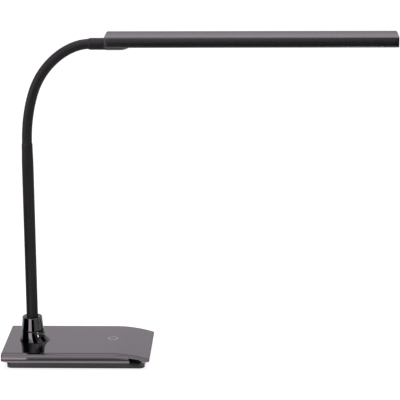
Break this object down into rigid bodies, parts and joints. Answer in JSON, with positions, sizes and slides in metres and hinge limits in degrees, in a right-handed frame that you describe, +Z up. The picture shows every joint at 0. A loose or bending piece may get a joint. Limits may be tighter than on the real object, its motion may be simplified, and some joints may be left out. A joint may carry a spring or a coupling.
{
  "type": "gooseneck desk lamp",
  "caption": "Desk lamp with a flat weighted base, touch switch, bendable sleeved neck and a long slim bar head with a frosted light strip underneath.",
  "frame": {"origin": "middle of the base's footprint, on the desk", "axes": "+X from the neck towards the free end of the head, +Y towards the back, +Z up"},
  "size_m": [0.423, 0.102, 0.3566],
  "materials": {
    "gloss_black_shell": "piano black, polished",
    "gloss_black_socket": "piano black, polished",
    "black_cover": "black, fine texture",
    "pad_foam": "black non-slip foam",
    "pale_mark": "pale grey",
    "weight_steel": "plain cut steel",
    "board_green": "green solder mask",
    "connector_white": "off-white nylon",
    "component_black": "black moulded packages",
    "spring_steel": "bright plated wire",
    "jack_black": "black nylon",
    "contact_brass": "bright",
    "lead_red": "red insulation",
    "neck_steel": "drawn, plain",
    "fastener_zinc": "zinc plated",
    "screw_black": "black zinc",
    "cable_black": "black jacket",
    "neck_silicone": "matt black silicone",
    "head_cap_black": "satin black",
    "head_satin_black": "satin black anodised",
    "diffuser_white": "frosted white",
    "led_board_white": "white solder mask",
    "led_phosphor": "yellow phosphor"
  },
  "bodies": {
    "base": {"base_top_shell": "gloss_black_shell", "base_bottom_cover": "black_cover", "cover_screws": "fastener_zinc", "foot_pad": "pad_foam", "weight_plate": "weight_steel", "control_board": "board_green", "board_screws": "fastener_zinc", "board_connectors": "connector_white", "board_components": "component_black", "touch_spring": "spring_steel", "touch_ring": "pale_mark", "power_jack": "jack_black", "power_jack_pin": "contact_brass", "jack_leads": "lead_red", "socket_foot": "gloss_black_socket", "socket_sleeve": "gloss_black_socket", "neck_tube": "neck_steel", "neck_collar": "neck_steel", "neck_washer": "fastener_zinc", "neck_nut": "fastener_zinc", "neck_sleeve_lower": "neck_silicone", "tube_fitting": "neck_steel", "neck_cable": "cable_black"},
    "neck_link_01": {"hose_link_01": "neck_steel", "neck_sleeve_01": "neck_silicone"},
    "neck_link_02": {"hose_link_02": "neck_steel", "neck_sleeve_02": "neck_silicone"},
    "neck_link_03": {"hose_link_03": "neck_steel", "neck_sleeve_03": "neck_silicone"},
    "neck_link_04": {"hose_link_04": "neck_steel", "neck_sleeve_04": "neck_silicone"},
    "neck_link_05": {"hose_link_05": "neck_steel", "neck_sleeve_05": "neck_silicone"},
    "neck_link_06": {"hose_link_06": "neck_steel", "neck_sleeve_06": "neck_silicone"},
    "neck_link_07": {"hose_link_07": "neck_steel", "neck_sleeve_07": "neck_silicone"},
    "neck_link_08": {"hose_link_08": "neck_steel", "neck_sleeve_08": "neck_silicone"},
    "neck_link_09": {"hose_link_09": "neck_steel", "neck_sleeve_09": "neck_silicone"},
    "neck_link_10": {"hose_link_10": "neck_steel", "neck_sleeve_10": "neck_silicone"},
    "neck_link_11": {"hose_link_11": "neck_steel", "neck_sleeve_11": "neck_silicone"},
    "head": {"head_ferrule": "neck_steel", "neck_sleeve_upper": "neck_silicone", "head_neck_cap": "head_cap_black", "cap_screws": "screw_black", "ferrule_set_screw": "fastener_zinc", "head_housing": "head_satin_black", "head_tip_cap": "head_cap_black", "diffuser": "diffuser_white", "led_board": "led_board_white", "led_chips": "led_phosphor", "head_leads": "lead_red"}
  },
  "joints": [
    {"name": "neck_bend_1", "type": "hinge", "parent": "base", "child": "neck_link_01", "pos_m": [-0.0507, 0, 0.24826], "axis": [0, 1, 0], "range_deg": [-17, 7], "deforming": ["neck_cable"]},
    {"name": "neck_side_1", "type": "hinge", "parent": "neck_link_01", "child": "neck_link_02", "pos_m": [-0.04985, 0, 0.25707], "axis": [0.9954, 0, -0.0958], "range_deg": [-15, 15], "deforming": ["neck_cable"]},
    {"name": "neck_bend_2", "type": "hinge", "parent": "neck_link_02", "child": "neck_link_03", "pos_m": [-0.049, 0, 0.26588], "axis": [0, 1, 0], "range_deg": [-17, 7], "deforming": ["neck_cable"]},
    {"name": "neck_bend_3", "type": "hinge", "parent": "neck_link_03", "child": "neck_link_04", "pos_m": [-0.04562, 0, 0.28327], "axis": [0, 1, 0], "range_deg": [-17, 7], "deforming": ["neck_cable"]},
    {"name": "neck_side_2", "type": "hinge", "parent": "neck_link_04", "child": "neck_link_05", "pos_m": [-0.04299, 0, 0.29172], "axis": [0.9548, 0, -0.2974], "range_deg": [-15, 15], "deforming": ["neck_cable"]},
    {"name": "neck_bend_4", "type": "hinge", "parent": "neck_link_05", "child": "neck_link_06", "pos_m": [-0.04036, 0, 0.30018], "axis": [0, 1, 0], "range_deg": [-17, 7], "deforming": ["neck_cable"]},
    {"name": "neck_bend_5", "type": "hinge", "parent": "neck_link_06", "child": "neck_link_07", "pos_m": [-0.03182, 0, 0.3157], "axis": [0, 1, 0], "range_deg": [-17, 7], "deforming": ["neck_cable"]},
    {"name": "neck_side_3", "type": "hinge", "parent": "neck_link_07", "child": "neck_link_08", "pos_m": [-0.02596, 0, 0.32233], "axis": [0.749, 0, -0.6626], "range_deg": [-15, 15], "deforming": ["neck_cable"]},
    {"name": "neck_bend_6", "type": "hinge", "parent": "neck_link_08", "child": "neck_link_09", "pos_m": [-0.02009, 0, 0.32896], "axis": [0, 1, 0], "range_deg": [-17, 7], "deforming": ["neck_cable"]},
    {"name": "neck_bend_7", "type": "hinge", "parent": "neck_link_09", "child": "neck_link_10", "pos_m": [-0.0058, 0, 0.33942], "axis": [0, 1, 0], "range_deg": [-17, 7], "deforming": ["neck_cable"]},
    {"name": "neck_side_4", "type": "hinge", "parent": "neck_link_10", "child": "neck_link_11", "pos_m": [0.00247, 0, 0.34259], "axis": [0.3584, 0, -0.9336], "range_deg": [-15, 15], "deforming": ["neck_cable"]},
    {"name": "neck_bend_8", "type": "hinge", "parent": "neck_link_11", "child": "head", "pos_m": [0.01073, 0, 0.34577], "axis": [0, 1, 0], "range_deg": [-17, 7], "deforming": ["neck_cable"]}
  ]
}
